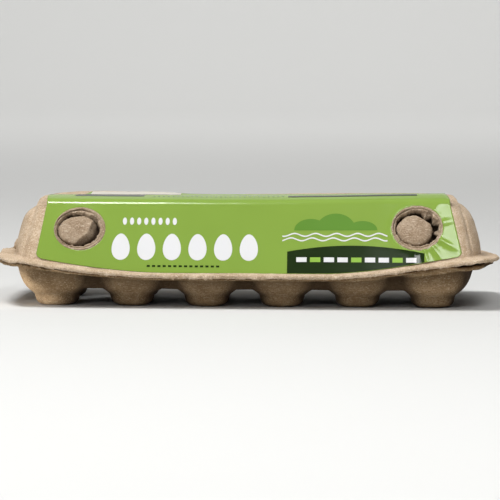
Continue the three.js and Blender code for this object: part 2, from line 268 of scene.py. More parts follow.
def make_piece(name, points, faces, material, replaced=(), weld=0.0):
    """A mesh object from points in millimetres and a list of face arrays, riding on the
    carton, its material and the CAD nodes that it stands for."""
    piece = smooth_object(name, points * MM, faces)
    mesh = piece.data
    if weld:
        bm = bmesh.new()
        bm.from_mesh(mesh)
        bmesh.ops.remove_doubles(bm, verts=bm.verts, dist=weld * MM)
        bm.to_mesh(mesh)
        bm.free()
    mesh.update()
    mesh.materials.append(material)
    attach(piece, "root")
    if replaced:
        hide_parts(*replaced)
    return piece


# Materials

def linear(hex_colour):
    """An sRGB hex colour as linear red, green, blue and alpha."""
    parts = [int(hex_colour[i:i + 2], 16) / 255 for i in (1, 3, 5)]
    return [c / 12.92 if c <= 0.04045 else ((c + 0.055) / 1.055) ** 2.4 for c in parts] + [1]


def add_node(tree, kind, settings=None, links=None):
    """Adds one node: settings names its properties and, by name or number, its input
    values; links names the outputs that its inputs take."""
    node = tree.nodes.new(kind)
    for key, value in (settings or {}).items():
        if isinstance(key, str) and hasattr(node, key):
            setattr(node, key, value)
        else:
            node.inputs[key].default_value = value
    for key, output in (links or {}).items():
        tree.links.new(output, node.inputs[key])
    return node


def maths(tree, operation, links, numbers=None):
    """The result of one Math node: links and numbers give its inputs by number."""
    node = add_node(tree, "ShaderNodeMath", {"operation": operation, **(numbers or {})}, links)
    return node.outputs[0]


def noise_node(tree, coords, size_mm, detail, roughness=0.5):
    """Noise whose features have that size."""
    settings = {"Scale": 1 / (size_mm * MM), "Detail": detail, "Roughness": roughness}
    return add_node(tree, "ShaderNodeTexNoise", settings, {"Vector": coords}).outputs["Fac"]


def add_relief(tree, shader, height, strength, distance_mm):
    """Lets a height shape the shading."""
    settings = {"Strength": strength, "Distance": distance_mm * MM}
    bump = add_node(tree, "ShaderNodeBump", settings, {"Height": height})
    tree.links.new(bump.outputs["Normal"], shader.inputs["Normal"])


def new_material(name):
    """An empty node material; gives it, its tree, its shader and its object coordinates."""
    material = bpy.data.materials.new(name)
    material.use_nodes = True
    tree = material.node_tree
    tree.nodes.clear()
    shader = add_node(tree, "ShaderNodeBsdfPrincipled")
    add_node(tree, "ShaderNodeOutputMaterial", links={"Surface": shader.outputs["BSDF"]})
    coords = add_node(tree, "ShaderNodeTexCoord").outputs["Object"]
    return material, tree, shader, coords


# The colour of painted shade on the pulp
PAINTED_SHADE_PULP = "#2E1F0F"
MOTTLE_MM = 9
FLECK_MM = 0.7
GRAIN_MM = 0.9
LUMP_MM = 3.2
FIBRE_MM = (3.4, 0.42)  # length and width: drawn a little coarse, to show in the render
FLANGE_EDGE = (1.5, 2.9)  # the shade under the flange sets in this far below the seam
DRIFT_MM = 60  # the label's colour drifts over this size
RIPPLE_MM = 2.6


def moulded_pulp(name, base, dark, light, fleck, deep=None, flange_shade=None, open_end=None):
    """Recycled paper pulp, moulded wet on a mesh and dried: fully matt, softly mottled,
    with pale and dark flecks, short fibres and a fine felted grain. Deep gives a direction,
    two distances along it in millimetres, a colour and a share: between the distances the
    pulp goes over to that colour, painted shade where it lies deep in a hollow.
    Flange shade gives two distances below the seam and a share: the same painted shade,
    under a flange, whose own edge stays light. Open end gives two distances along the
    carton, between which both kinds of painted shade set in."""
    material, tree, shader, coords = new_material(name)

    def noise_at(size, detail, coordinates=coords):
        return noise_node(tree, coordinates, size, detail, roughness=0.6)

    def ramp(value, low, high, top=1.0):
        return add_node(tree, "ShaderNodeMapRange",
                        {"From Min": low, "From Max": high, "To Min": 0.0, "To Max": top},
                        {"Value": value}).outputs["Result"]

    def mixed(under, over, share):
        node = add_node(tree, "ShaderNodeMix", {"data_type": "RGBA"}, {0: share})
        for socket, colour in ((6, under), (7, over)):
            if isinstance(colour, str):
                node.inputs[socket].default_value = linear(colour)
            else:
                tree.links.new(colour, node.inputs[socket])
        return node.outputs[2]

    def fibres(turn):
        stretch = add_node(tree, "ShaderNodeMapping",
                           {"Rotation": (turn, turn * 0.7, turn * 1.3),
                            "Scale": (FIBRE_MM[1] / FIBRE_MM[0], 1, 1)}, {"Vector": coords})
        return noise_at(FIBRE_MM[1], 0, stretch.outputs["Vector"])

    colour = mixed(dark, base, ramp(noise_at(MOTTLE_MM, 3), 0.3, 0.62))
    colour = mixed(colour, light, ramp(noise_at(FLECK_MM, 1), 0.54, 0.7, 0.75))
    colour = mixed(colour, dark, ramp(noise_at(FLECK_MM * 1.4, 1), 0.54, 0.68, 0.85))
    streaks = maths(tree, "MAXIMUM", {0: fibres(0.5), 1: fibres(2.1)})
    colour = mixed(colour, fleck, ramp(streaks, 0.7, 0.78, 0.6))
    place = add_node(tree, "ShaderNodeSeparateXYZ", links={0: coords}).outputs

    def least(first, second):
        return maths(tree, "MINIMUM", {0: first, 1: second})

    def kept_off(share):
        if not open_end:
            return share
        return least(share, ramp(place["X"], open_end[0] * MM, open_end[1] * MM))

    # Painted shade under the flange, where its shadow falls on the tray
    if flange_shade:
        along = maths(tree, "ABSOLUTE", {0: place["X"]})
        rise = maths(tree, "POWER", {0: ramp(along, SEAM_FLAT_X * MM, SEAM_RISE_X * MM)}, {1: SEAM_POWER})
        low = maths(tree, "MULTIPLY_ADD", {0: rise}, {1: SEAM_DROP * MM, 2: (SEAM_END_Z - SEAM_DROP) * MM})
        below = maths(tree, "SUBTRACT", {0: low, 1: place["Z"]})
        far, near, share = flange_shade
        shade = least(ramp(below, far * MM, near * MM, share),
                      ramp(below, FLANGE_EDGE[0] * MM, FLANGE_EDGE[1] * MM))
        colour = mixed(colour, PAINTED_SHADE_PULP, kept_off(shade))
    # Painted shade in hollows: deep in the lock holes and between the cups
    if deep:
        direction, near, far, shade, share = deep
        away = add_node(tree, "ShaderNodeVectorMath", {"operation": "ABSOLUTE"}, {0: coords})
        along = add_node(tree, "ShaderNodeVectorMath", {"operation": "DOT_PRODUCT", 1: direction},
                         {0: away.outputs["Vector"]})
        hollow_shade_share = ramp(along.outputs["Value"], near * MM, far * MM, share)
        colour = mixed(colour, shade, kept_off(hollow_shade_share))
    tree.links.new(colour, shader.inputs["Base Color"])

    grain = maths(tree, "MULTIPLY_ADD", {0: noise_at(LUMP_MM, 3), 2: noise_at(GRAIN_MM, 3)}, {1: 0.45})
    relief = maths(tree, "MULTIPLY_ADD", {0: streaks, 2: grain}, {1: 0.35})
    add_relief(tree, shader, relief, 0.8, 0.4)
    shader.inputs["Roughness"].default_value = 0.93
    shader.inputs["Specular IOR Level"].default_value = 0.25
    return material


def coated_paper(name, base, shade, roughness=0.24):
    """Coated label paper under a clear gloss varnish: one even printed colour that drifts a
    little, a sharp top reflection, and the faint ripple of paper glued to pulp."""
    material, tree, shader, coords = new_material(name)
    drift = noise_node(tree, coords, DRIFT_MM, 1)
    colour = add_node(tree, "ShaderNodeMix",
                      {"data_type": "RGBA", 6: linear(shade), 7: linear(base)}, {0: drift})
    tree.links.new(colour.outputs[2], shader.inputs["Base Color"])
    add_relief(tree, shader, noise_node(tree, coords, RIPPLE_MM, 2), 0.08, 0.1)
    shader.inputs["Roughness"].default_value = roughness
    shader.inputs["IOR"].default_value = 1.45
    shader.inputs["Specular IOR Level"].default_value = 0
    shader.inputs["Coat Weight"].default_value = 0.55
    shader.inputs["Coat Roughness"].default_value = 0.12
    return material


# Painted shade, where the pulp is darker in the lock holes, between the cups and under the flange, and none
# at the left end, in the form that moulded_pulp takes
SHADE_IN_LOCKS = (tuple(np.abs(PANEL_NORMAL)), 53.3, 50.0, PAINTED_SHADE_PULP, 0.92)
SHADE_BETWEEN_CUPS = ((0, -1, 0.53), -35.5, -29, PAINTED_SHADE_PULP, 0.85)
SHADE_UNDER_FLANGE = (12, 0, 0.74)
LEFT_END = (-132, -112)
PULP_LID = moulded_pulp("moulded_pulp_lid", "#C1AC93", "#A68E72", "#D8C5AE", "#E8D9C6")
# The locks' pulp is a darker copy of the lid's pulp: painted shade
PULP_LOCK_SHADED = moulded_pulp("moulded_pulp_lock_shaded", "#A3907A", "#88735C", "#BAA792", "#D4C5B2", SHADE_IN_LOCKS)
# The tray's pulp is a darker copy of the lid's pulp: painted shade
PULP_TRAY_SHADED = moulded_pulp("moulded_pulp_tray_shaded", "#9B8262", "#7C6345", "#B39B7C", "#CDB99C",
                         SHADE_BETWEEN_CUPS, SHADE_UNDER_FLANGE, LEFT_END)
PAPER_GREEN = coated_paper("coated_paper_green", "#819E43", "#79943E")
INK_WHITE = coated_paper("varnished_ink_white", "#D9D9DA", "#D2D2D3")
INK_DARK = coated_paper("varnished_ink_dark_green", "#1F2F13", "#1B2910")
INK_LEAF = coated_paper("varnished_ink_mid_green", "#5F8A35", "#587F31")
INK_PALE = coated_paper("varnished_ink_pale_grey", "#CFC9BC", "#C4BEB1")
INK_LIME = coated_paper("varnished_ink_lime", "#8DB54A", "#86AD46")


# The seam and the outlines that the lid, tray and label share

def seam_rise(x):
    """0 near the middle, then the power of the distance, up to 1 near the ends."""
    t = np.clip((np.abs(x) - SEAM_FLAT_X) / (SEAM_RISE_X - SEAM_FLAT_X), 0, 1)
    return t ** SEAM_POWER


def low_share(x, y):
    """1 where the seam is lowest, at the front middle, and 0 at the ends and the back."""
    return (1 - seam_rise(x)) * smoothstep(-np.asarray(y, float), 0, SEAM_FRONT_Y)


def seam(x, y):
    """The seam's height: level, less the drop at the front middle, plus the lift at the
    front of the right end, less the droop at its back."""
    lift = RIGHT_LIFT * smoothstep(x, *RIGHT_LIFT_X) * smoothstep(-np.asarray(y, float), 0, SEAM_FRONT_Y)
    droop = BACK_DROOP * smoothstep(x, *BACK_DROOP_X) * smoothstep(y, *BACK_DROOP_Y)
    return SEAM_END_Z - SEAM_DROP * low_share(x, y) + lift - droop


def lid_seam(x, y):
    """The underside of the lid's flange: the seam, but for the curl of the left tip."""
    curl = smoothstep(-np.asarray(x, float), *LEFT_CURL_X) * (1 - smoothstep(y, *LEFT_CURL_Y))
    return seam(x, y) + LEFT_CURL * curl


def settled(points):
    """The lid as it sits: its top rises a little to the right and bulges along its front,
    and along the back left of the top there is a long low ridge."""
    x, y, z = np.moveaxis(points, -1, 0)
    tilt = TOP_LIFT * smoothstep(x, *TOP_LIFT_X) * smoothstep(z, *TOP_LIFT_Z)
    middle, half, height = TOP_RIDGE
    ridge = height * np.exp(-((x - middle) / half) ** 4) * smoothstep(y, *TOP_RIDGE_Y)
    ridge = ridge * smoothstep(z, *TOP_RIDGE_Z)
    left, right, *span = TOP_CROWN
    bulge = left + (right - left) * smoothstep(x, *TOP_LIFT_X)
    bulge = bulge * (1 - CROWN_END[2] * smoothstep(x, *CROWN_END[:2]))
    crown = bulge * between(y, *span) * smoothstep(z, *TOP_CROWN_Z)
    return points + np.stack([0 * x, 0 * x, tilt + ridge + crown], -1)


def panel_share(z):
    return (PANEL_TOP[1] - np.asarray(z, float)) / (PANEL_TOP[1] - PANEL_BASE[1])


def panel_y(z):
    """The panels' distance from the middle at a height."""
    return PANEL_TOP[0] + panel_share(z) * (PANEL_BASE[0] - PANEL_TOP[0])


def crease_x(z):
    return CREASE_TOP_X + panel_share(z) * (CREASE_BASE_X - CREASE_TOP_X)


def past_flange(x, y, inset=NO_INSET):
    """Under 1 inside a flange's outline and over 1 outside it: a rounded rectangle with
    elliptical corners, whose front reaches further than its back."""
    left_in, right_in, front_in = inset
    front = FLANGE_FRONT - front_in
    middle = (FLANGE_BACK - front) / 2
    rx, ry = FLANGE_CORNER
    qx = (np.abs(x) - (FLANGE_X - np.where(np.asarray(x) < 0, left_in, right_in) - rx)) / rx
    qy = (np.abs(y - middle) - ((FLANGE_BACK + front) / 2 - ry)) / ry
    return np.hypot(np.maximum(qx, 0), np.maximum(qy, 0))


FLANGE_HEART = (120, 14)  # flange edges are reached straight out from this rectangle


def flange_reach(x, y, inset=NO_INSET):
    """The flange's edge straight out from each point, found by halving the step 30 times."""
    sx = np.clip(x, -FLANGE_HEART[0], FLANGE_HEART[0])
    sy = np.clip(y, -FLANGE_HEART[1], FLANGE_HEART[1])
    dx, dy = x - sx, y - sy
    length = np.hypot(dx, dy)
    dx, dy = dx / length, dy / length
    low, high = np.zeros_like(x), np.full_like(x, 90.0)
    for _ in range(30):
        mid = (low + high) / 2
        inside = past_flange(sx + dx * mid, sy + dy * mid, inset) < 1
        low, high = np.where(inside, mid, low), np.where(inside, high, mid)
    return sx + dx * low, sy + dy * low


def outline_columns(side, corner, end):
    """Columns round an outline, counter-clockwise from the right end's back corner. Each
    gives its place along the straight sides, -1 to 1, and its corner's unit circle."""
    parts = []
    for k, (sx, sy) in enumerate(((1, 1), (-1, 1), (-1, -1), (1, -1))):
        a = np.radians(90 * k + np.linspace(0, 90, corner + 1))
        parts.append((np.full_like(a, sx), np.full_like(a, sy), np.cos(a), np.sin(a)))
        count = end if k % 2 else side
        run = np.linspace(1, -1, count + 2)[1:-1]
        still, flat = np.ones(count), np.zeros(count)
        parts.append(((run, still, flat, still), (-still, run, -still, flat),
                      (-run, -still, flat, -still), (still, -run, still, flat))[k])
    return [np.concatenate(column) for column in zip(*parts)]


def rounded_outline(columns, half_x, half_y, rx, ry):
    """Points of a rounded rectangle with elliptical corners at those columns."""
    along, across, c, s = columns
    return along * (half_x - rx) + rx * c, across * (half_y - ry) + ry * s


def push_out(x, y, half_x, half_y, r):
    """Points inside a rounded rectangle go to the nearest point of its edge; the rest
    stay. So two outlines become one, with a crease where they cross."""
    qx = np.abs(x) - (half_x - r)
    qy = np.abs(y) - (half_y - r)
    both = (qx > 0) & (qy > 0)
    length = np.maximum(np.hypot(np.maximum(qx, 0), np.maximum(qy, 0)), 1e-9)
    inside = length + np.minimum(np.maximum(qx, qy), 0) < r
    corner_x = (half_x - r) + r * np.maximum(qx, 0) / length
    corner_y = (half_y - r) + r * np.maximum(qy, 0) / length
    edge_x = np.where(both, corner_x, np.where(qx > qy, half_x, np.abs(x)))
    edge_y = np.where(both, corner_y, np.where(qx > qy, np.abs(y), half_y))
    return (np.where(inside, np.sign(x) * edge_x, x), np.where(inside, np.sign(y) * edge_y, y))


def lock_centre(side):
    x, z = LOCKS[side][:2]
    return np.array([x, -panel_y(z), z])


def lock_share(points, side):
    """Distance from a lock's middle on the front panel, 1 at its ring's outer edge."""
    away = points - lock_centre(side)
    share = np.hypot(away[..., 0] / LOCK_RING[0], away @ PANEL_UP / LOCK_RING[1])
    return np.where(points[..., 1] < 0, share, 9.0)


def lock_dip(points, side, dip):
    """How deep a surface goes down inside a lock's ring, by a smoothstep over the dip."""
    start, width = dip
    return LOCK_SINK * smoothstep(start - lock_share(points, side), 0, width)[..., None]


# The lid

LID_COLUMNS = outline_columns(side=400, corner=38, end=44)
WALL_RINGS = 48
TOP_RINGS = 12
FILLET = ((0, 2.3), (0.12, 1.45), (0.45, 0.85), (1.0, 0.4), (1.7, 0.12))  # out, up
LIP = ((1.25, 0), (0.6, -0.12), (0.22, -0.4), (0, -0.9))  # in from the edge, down from the top
UNDER_LIP = ((0, 0.9), (0.2, 0.35), (0.6, 0.08), (1.4, 0))  # in from the edge, up from below
UNDER_REACH = 0.35
LOBE_FALL = (59, 2)  # from this height up the lobes draw in, by this a millimetre
PANEL_CORNER = (7, 2)  # corner radius of the panels' outline at their top, and its growth below
FOOT_START_Z = 27.0  # the wall's foot is searched for from here, in a few steps
FOOT_STEPS = 4
CREASE_Z = (30, 34, 60, 62)  # the groove sets in and ends over these heights
CREASE_DEEP = 6  # and stays this near to the panels
RELIEF_Z = (18, 24)
RIM_SHREDS = 0.9  # how far the rim's lower edge hangs down in shreds
UNDER_LABEL = 0.45  # how much lower the pulp lies there, so that it never shows through
LABEL_MARGIN = (0.5, 2.5)  # within the label's edge
FRINGE = (0, 34.2, 10, 3.4, 2.6)  # middle y and z, half sizes, height
FRINGE_X = -130  # it lies beyond this
FRINGE_ROUGH = (0.8, 1.6)  # share and size of its lumps
PULP_WAVES = ((34, 0.3), (9, 0.11), (2.4, 0.09))  # sizes and heights, here and below
FRAY_WAVES = ((26, 0.45), (5, 0.4), (1.9, 0.5), (1.1, 0.3))
SHRED_WAVES = ((4.3, 0.9), (1.9, 1.0), (1.0, 0.6))
SHRED_UP = -0.3  # the waves are cut off here, so that the edge rises only a little
SHRED_SHARE = (0.984, 0.998)  # they set in between these shares of the way to the edge
SHRED_Z = (0.9, 1.7)  # and end between these heights over the seam
FRAY_MOST = 0.25  # the fray reaches no further out than this
FRAY_UP = 0.5  # its share that also goes up and down


def edge_rings(x, y, z_top, z_under, inset, rings):
    """Rings of a flange's lip between its wall at (x, y) and its edge: over the top, round
    the edge and back underneath."""
    ex, ey = flange_reach(x, y, inset)
    width = np.hypot(ex - x, ey - y)
    top, under = rings
    out = []
    steps = [(d, h, z_top) for d, h in top] + [(d, h, z_under) for d, h in under]
    for distance, height, surface in steps:
        share = 1 - distance / width
        px, py = x + (ex - x) * share, y + (ey - y) * share
        out.append(np.stack([px, py, surface(px, py) + height], -1))
    return out


def lid_rings():
    """The lid as rings from under its flange up to the middle of its top. The wall is the
    end lobes' rounded outline, pushed out to the panels' outline; both change with height."""
    lobe = rounded_line(LOBE_PROFILE)
    main = rounded_line(MAIN_EDGE, 2)

    def wall(z):
        half_x, rx, ry = (np.interp(z, lobe[:, 0], lobe[:, k]) for k in (1, 2, 3))
        fall = np.maximum(z - LOBE_FALL[0], 0) * LOBE_FALL[1]
        half_y = panel_y(z) - LOBE_STEP - fall
        x, y = rounded_outline(LID_COLUMNS, half_x - LOBE_RIGHT_LESS / 2, half_y, rx, ry)
        x = x - LOBE_RIGHT_LESS / 2
        below = z < PANEL_TOP[1]
        drawn = np.clip((z - TOP_SHORT_Z[0]) / (TOP_SHORT_Z[1] - TOP_SHORT_Z[0]), 0, 1)
        less, shift = drawn * sum(TOP_SHORT) / 2, drawn * (TOP_SHORT[0] - TOP_SHORT[1]) / 2
        half_main = np.where(below, crease_x(z), np.interp(z, main[:, 0], main[:, 1]))
        deep_main = np.where(below, panel_y(z), np.interp(z, main[:, 0], main[:, 2]))
        panel_r = PANEL_CORNER[0] + PANEL_CORNER[1] * panel_share(z)
        radius = np.where(below, panel_r, np.interp(z, main[:, 0], main[:, 3]))
        x, y = push_out(x - shift, y, half_main - less, deep_main, radius)
        return x + shift, y

    def flange_top(x, y):
        return lid_seam(x, y) + SEAM_GAP / 2 + LID_FLANGE_T + LID_LIP_EXTRA * low_share(x, y)

    def flange_under(x, y):
        return lid_seam(x, y) + SEAM_GAP / 2

    foot_z = np.full(len(LID_COLUMNS[0]), FOOT_START_Z)
    for _ in range(FOOT_STEPS):
        x, y = wall(foot_z)
        foot_z = flange_top(x, y) + FILLET[0][1]
    x, y = wall(foot_z)
    rings = edge_rings(x, y, flange_top, flange_under, NO_INSET, (LIP[::-1], UNDER_LIP))
    rings = rings[len(LIP):][::-1] + rings[:len(LIP)]
    ex, ey = flange_reach(x, y)
    width = np.hypot(ex - x, ey - y)
    inner = x + (ex - x) * UNDER_REACH, y + (ey - y) * UNDER_REACH
    rings.insert(0, np.stack([*inner, flange_under(*inner)], -1))
    for out, up in FILLET[::-1]:
        px, py = x + (ex - x) * out / width, y + (ey - y) * out / width
        rings.append(np.stack([px, py, flange_top(px, py) + up], -1))
    for t in np.linspace(0, 1, WALL_RINGS + 1)[1:]:
        z = foot_z + t * (PANEL_TOP[1] - foot_z)
        rings.append(np.stack([*wall(z), z], -1))
    for z in main[1:, 0]:
        level = np.full_like(foot_z, z)
        rings.append(np.stack([*wall(level), level], -1))
    plate_x, plate_y, plate_r = main[-1, 1:]
    for t in np.linspace(0, 1, TOP_RINGS + 1)[1:]:
        shrink = plate_y * t
        r = plate_r * (1 - t)
        px, py = rounded_outline(LID_COLUMNS, plate_x - sum(TOP_SHORT) / 2 - shrink, plate_y - shrink, r, r)
        px = px + (TOP_SHORT[0] - TOP_SHORT[1]) / 2
        rings.append(np.stack([px, py, np.full_like(px, LID_TOP_Z)], -1))
    return np.array(rings)


def pulp_relief(points, seed):
    """The felted unevenness of dried pulp: dents, waves and lumps in three sizes."""
    return layered_noise(points, PULP_WAVES, seed)


def ragged_edge(points, share, seed):
    """The frayed edge of a flange: short and long unevenness, only where share is near 1."""
    fray = layered_noise(points, FRAY_WAVES, seed)
    return fray * smoothstep(share, 0.86, 1.0)


def under_label(points):
    """1 where the label covers the lid, falling to 0 within two millimetres of its edge."""
    x, y, z = np.moveaxis(points, -1, 0)
    low = label_low(x)
    half = label_half(x, np.clip((z - low) / (PANEL_TOP[1] - low), 0, 1))
    inside = smoothstep(half - np.abs(x), *LABEL_MARGIN) * smoothstep(label_back(x) - y, *LABEL_MARGIN)
    return inside * smoothstep(z - low, *LABEL_MARGIN)


def torn_fringe(points):
    """A torn fringe of pulp that stands off the left lobe, low down."""
    x, y, z = np.moveaxis(points, -1, 0)
    middle_y, middle_z, half_y, half_z, height = FRINGE
    place = np.exp(-((y - middle_y) / half_y) ** 4 - ((z - middle_z) / half_z) ** 4) * (x < FRINGE_X)
    return place * height * (1 + FRINGE_ROUGH[0] * noise(points, FRINGE_ROUGH[1], 15))


def build_lid():
    """The lid's pulp, closed below by a fan and along the middle of its top by welding."""
    grid = lid_rings()
    x, y, z = np.moveaxis(grid, -1, 0)
    normal = normals_of(grid, wrap=True)
    groove = CREASE_GROOVE[0] * np.exp(-((np.abs(x) - crease_x(z)) / CREASE_GROOVE[1]) ** 2)
    wall = between(z, *CREASE_Z) * (np.abs(y) > panel_y(z) - CREASE_DEEP)
    relief = pulp_relief(grid, 3) * smoothstep(z, *RELIEF_Z) - groove * wall
    grid += normal * (relief - UNDER_LABEL * under_label(grid) + torn_fringe(grid))[..., None]
    heart_x = np.clip(x, -FLANGE_HEART[0], FLANGE_HEART[0])
    heart_y = np.clip(y, -FLANGE_HEART[1], FLANGE_HEART[1])
    out = np.stack([x - heart_x, y - heart_y, 0 * x], -1)
    out /= np.maximum(np.linalg.norm(out, axis=-1, keepdims=True), 1e-9)
    share = past_flange(x, y) * (z < lid_seam(x, y) + 4)
    grid += out * np.minimum(ragged_edge(grid, share, 11), FRAY_MOST)[..., None]
    grid[..., 2] += ragged_edge(grid, share, 21) * FRAY_UP
    hanging = smoothstep(share, *SHRED_SHARE) * (1 - smoothstep(z - lid_seam(x, y), *SHRED_Z))
    shreds = np.maximum(layered_noise(grid, SHRED_WAVES, 51), SHRED_UP)
    grid[..., 2] -= RIM_SHREDS * shreds * hanging
    for side in LOCKS:
        grid -= PANEL_NORMAL * lock_dip(grid, side, LID_DIP)
    grid = settled(grid)
    rows, cols = grid.shape[:2]
    points = np.concatenate([grid.reshape(-1, 3), [[0, 0, SEAM_END_Z + 2]]])
    faces = [quads_of(rows, cols, wrap=True), fan_of(np.arange(cols), rows * cols, flip=True)]
    return make_piece("lid_pulp", points, faces, PULP_LID, ["lid"], weld=0.01)


# The lock rings and knobs, each a polar grid on the front panel

LOCK_SIDES = 190
RING_PROFILE = (  # share from the ring's edge (0) to the hole's (1), height over the panel
    (4.4, -LOCK_DEPTH - 1.6), (-0.1, -LOCK_DEPTH - 1.6), (-0.2, -1.4), (-0.08, -0.3),
    (0.02, 0.5), (0.16, 0.92), (0.34, RING_PROUD), (0.48, 0.6),
    (0.56, 0.12), (0.66, 0.42), (0.8, 0.62), (0.94, 0.36), (1.02, -0.4), (1.08, -1.5),
    (1.16, -3.2), (1.24, -5.2), (1.4, -LOCK_DEPTH + 0.4), (2.2, -LOCK_DEPTH), (4.4, -LOCK_DEPTH))
TEARS = {  # angle in degrees, half width in degrees, how far the lip is torn back and down
    "left": ((120, 16, 0.7, 0.8), (40, 13, 0.9, 1.2), (66, 7, -0.5, 0.2)),
    "right": ((56, 9, 1.1, 1.6), (18, 10, 0.9, 1.4), (37, 5, -0.9, 0.3), (95, 16, 0.7, 0.8),
              (150, 22, 0.6, 0.8), (-28, 12, 0.6, 0.9)),
}
SPLIT = {"left": (60, 185, 1.3), "right": (95, 200, 1.1)}  # of the lip: from angle to angle, depth
SPLIT_FADE = 25
RING_LIP = (0.45, 0.8, 1.3, 2.0)  # the lip, in shares from the ring's edge to the hole's
RING_FRAY = ((9, 0.14), (17, 0.16), (31, 0.14), (53, 0.1))  # waves in a turn and heights
FLAP_WAVES = ((15, 0.12), (27, 0.12))
SPLIT_WAVES = ((5, 0.04), (12, 0.03))
RING_ROUGH = ((5, 0.2), (2.1, 0.16), (1.1, 0.12))
FLAPS = {  # torn pulp that leans into the hole: angle, half width in degrees, share of the way
    "left": ((58, 26, 0.55), (150, 30, 0.2)),
    "right": ((63, 12, 1.0), (27, 8, 1.0), (-12, 8, 0.85)),
}


def on_panel(side, x, s, n):
    """Points on the front panel round a lock: x along the carton, s up the slope and n out."""
    return lock_centre(side) + (np.multiply.outer(x, [1.0, 0, 0]) + np.multiply.outer(s, PANEL_UP)
                                + np.multiply.outer(n, PANEL_NORMAL))


def turn_noise(a, waves, seed):
    """A value round a circle: a few sines of whole waves with random starts, -1 to 1 or so."""
    starts = np.random.default_rng(seed).uniform(0, 2 * np.pi, len(waves))
    return sum(h * np.sin(k * a + start) for (k, h), start in zip(waves, starts))


def bump_round(a, angle, half):
    """1 at an angle and 0 away from it: exp(-(offset / half width)^4), both in degrees."""
    off = (a - math.radians(angle) + np.pi) % (2 * np.pi) - np.pi
    return np.exp(-(off / math.radians(half)) ** 4)


def build_lock_ring(side):
    """The pulp ring round a lock hole and the hole's wall: each ring of points lies between
    the ring's outer oval and the hole's oval by its share. Over the inner lip the share and
    the height are torn back at a few angles and frayed all round."""
    seed = 90 + len(side)
    own_share, height = profile_columns(RING_PROFILE)
    share = own_share
    a = whole_turn(LOCK_SIDES)
    lip = between(share, *RING_LIP)
    wide = LOCK_RING[0] - LOCK_HOLE[0]
    back, down = 0, 0
    for angle, half, reach, depth in TEARS[side]:
        tear = bump_round(a, angle, half)
        back, down = back + reach * tear, down + depth * tear
    fray = turn_noise(a, RING_FRAY, seed)
    back = (back * 0.75 + fray * 0.8) * lip
    share = share - back / wide * smoothstep(share, 0.4, 1.0)
    lean = 0
    for angle, half, reach in FLAPS[side]:
        lean = lean + reach * bump_round(a, angle, half)
    lean = lean * (1 + turn_noise(a, FLAP_WAVES, seed + 2))
    inner_wall = smoothstep(-height, 0.3, 3.0) * (1 - smoothstep(own_share, 1.4, 2.2))
    share = share + lean * inner_wall
    drop = np.minimum(down * 0.5 + fray * 0.5, 1.4) * lip
    first, last, split = SPLIT[side]
    turned = between(a, *np.radians([first, first + SPLIT_FADE, last - SPLIT_FADE, last]))
    wander = 0.5 + turn_noise(a, SPLIT_WAVES, seed + 1)
    drop = drop + split * turned * np.exp(-((own_share - wander) / 0.07) ** 2)
    hole_x, hole_s = LOCKS[side][2:]
    rx = np.maximum(LOCK_RING[0] + share * (LOCK_HOLE[0] - LOCK_RING[0]), 0.6)
    rs = np.maximum(LOCK_RING[1] + share * (LOCK_HOLE[1] - LOCK_RING[1]), 0.5)
    pull = np.clip(share, 0, 1)
    grid = on_panel(side, hole_x * pull + rx * np.cos(a), hole_s * pull + rs * np.sin(a), height - drop)
    rough = layered_noise(grid, RING_ROUGH, seed)
    grid = grid + PANEL_NORMAL * (rough * smoothstep(share, -0.1, 0.1))[..., None]
    points, faces = closed_ends(grid)
    return make_piece("lock_ring_" + side, settled(points), faces, PULP_LOCK_SHADED)


KNOB_PROFILE = (  # share of the radius, height over the panel
    (0.9, -LOCK_DEPTH + 0.3), (0.98, -4.6), (1.0, -3), (0.99, -1.9), (0.95, -0.9), (0.87, -0.2),
    (0.72, 0.25), (0.5, 0.5), (0.25, 0.6), (0.04, 0.64))
KNOB_STEP = 0.3  # share of the flank's depth that falls at its upper edge
KNOB_WAVES = ((3, 0.008), (7, 0.008), (13, 0.008), (29, 0.008))
KNOB_DENTS = ((8, 0.3), (2.6, 0.2), (1.2, 0.13))
KNOBS = {  # radii, place off the lock's middle, flanks (direction in degrees, start), depth, flats
    "left": ((12.5, 9.6), (-1.1, -0.4), ((-14, 0.53), (-43, 0.52)), 6.3, ()),
    "right": ((10.9, 9.4), (-1.7, -0.9), ((-40, 0.95),), 1.0, ((56, 0.88, 1.0),)),
}


def build_knob(side):
    """A lock knob: a flat dome. One flank slopes down into its hole, and flats cut its
    outline at a few angles, where it was torn."""
    radii, place, flanks, depth, flats = KNOBS[side]
    share, height = profile_columns(KNOB_PROFILE)
    a = whole_turn(LOCK_SIDES)
    outline = 1 + turn_noise(a, KNOB_WAVES, 100 + len(side))
    for angle, reach, strength in flats:
        along = np.cos(a - math.radians(angle))
        cut = np.where(along > 0.2, reach / np.maximum(along, 0.2), 9)
        outline = outline + strength * (np.minimum(outline, cut) - outline)
    x, s = share * outline * np.cos(a), share * outline * np.sin(a)
    fallen = 0
    for turn, start in flanks:
        along = x * math.cos(math.radians(turn)) + s * math.sin(math.radians(turn))
        fallen = np.maximum(fallen, np.clip((along - start) / (1.05 - start), 0, 1))
    lower = depth * (KNOB_STEP * smoothstep(fallen, 0, 0.07) + (1 - KNOB_STEP) * fallen ** 1.2)
    grid = on_panel(side, place[0] + radii[0] * x, place[1] + radii[1] * s, height - lower)
    normal = normals_of(grid, wrap=True)
    dents = layered_noise(grid, KNOB_DENTS, 130 + len(side))
    grid = grid + normal * dents[..., None]
    points, faces = closed_ends(grid)
    return make_piece("knob_" + side, settled(points), faces, PULP_LOCK_SHADED, ["lock_knob_" + side])


# The label and its print

